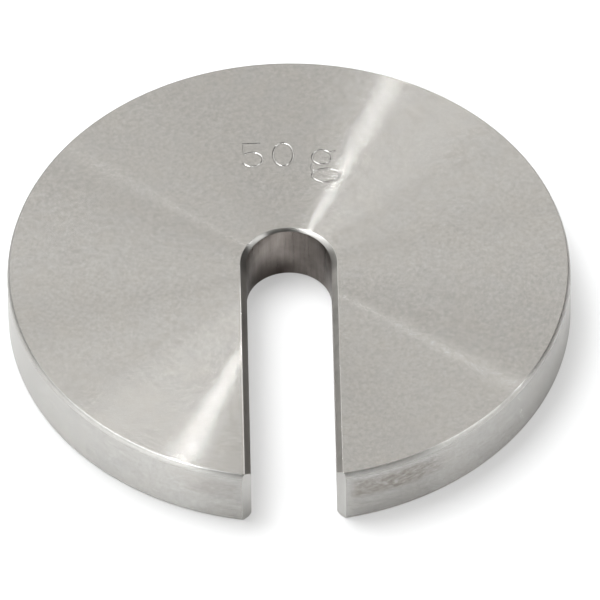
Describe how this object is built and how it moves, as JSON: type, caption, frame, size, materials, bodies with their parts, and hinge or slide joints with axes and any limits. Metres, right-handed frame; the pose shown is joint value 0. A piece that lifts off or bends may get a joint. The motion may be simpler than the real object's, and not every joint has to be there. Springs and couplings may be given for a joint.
{
  "type": "slotted calibration weight",
  "caption": "Flat round steel calibration weight with a radial slot from the rim to just past its centre, so that it slides sideways onto the stem of a weight hanger.",
  "frame": {"origin": "on the disc's axis, in its lower face; the flats at the slot's mouth leave the bounding box centre 0.18 mm away from it towards +Y", "axes": "+Z along the disc's axis, up from the lower face to the marked face; the slot opens towards -Y"},
  "size_m": [0.0424, 0.042, 0.005],
  "materials": {
    "turned_steel": "faces and rim fine-turned, slot milled, bare stainless steel"
  },
  "bodies": {
    "root": {"slotted_weight": "turned_steel"}
  },
  "joints": []
}
